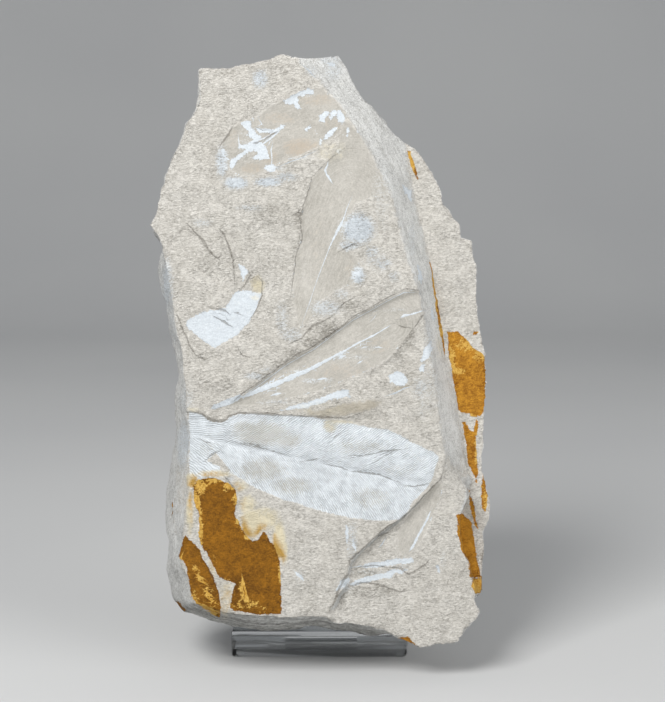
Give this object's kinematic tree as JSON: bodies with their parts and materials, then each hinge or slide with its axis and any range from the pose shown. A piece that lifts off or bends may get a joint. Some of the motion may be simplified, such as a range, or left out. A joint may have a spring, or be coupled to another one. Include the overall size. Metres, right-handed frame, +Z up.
{
  "type": "fossil glossopteris leaf",
  "caption": "Pale siltstone slab with white Glossopteris leaf impressions and rust-coloured stains, leaning back on a small clear display stand.",
  "frame": {"origin": "middle of the stand's underside, on the table", "axes": "+Z up, -Y towards the leaf-bearing face of the slab, +X to the viewer's right"},
  "size_m": [0.1503, 0.1015, 0.2672],
  "materials": {
    "siltstone": "dry matte siltstone: warm grey bedding plane with white clay leaf films, beige impressions and rust stains",
    "clear_acrylic": "polished clear acrylic"
  },
  "bodies": {
    "root": {"rock_slab": "siltstone", "display_stand": "clear_acrylic"}
  },
  "joints": []
}
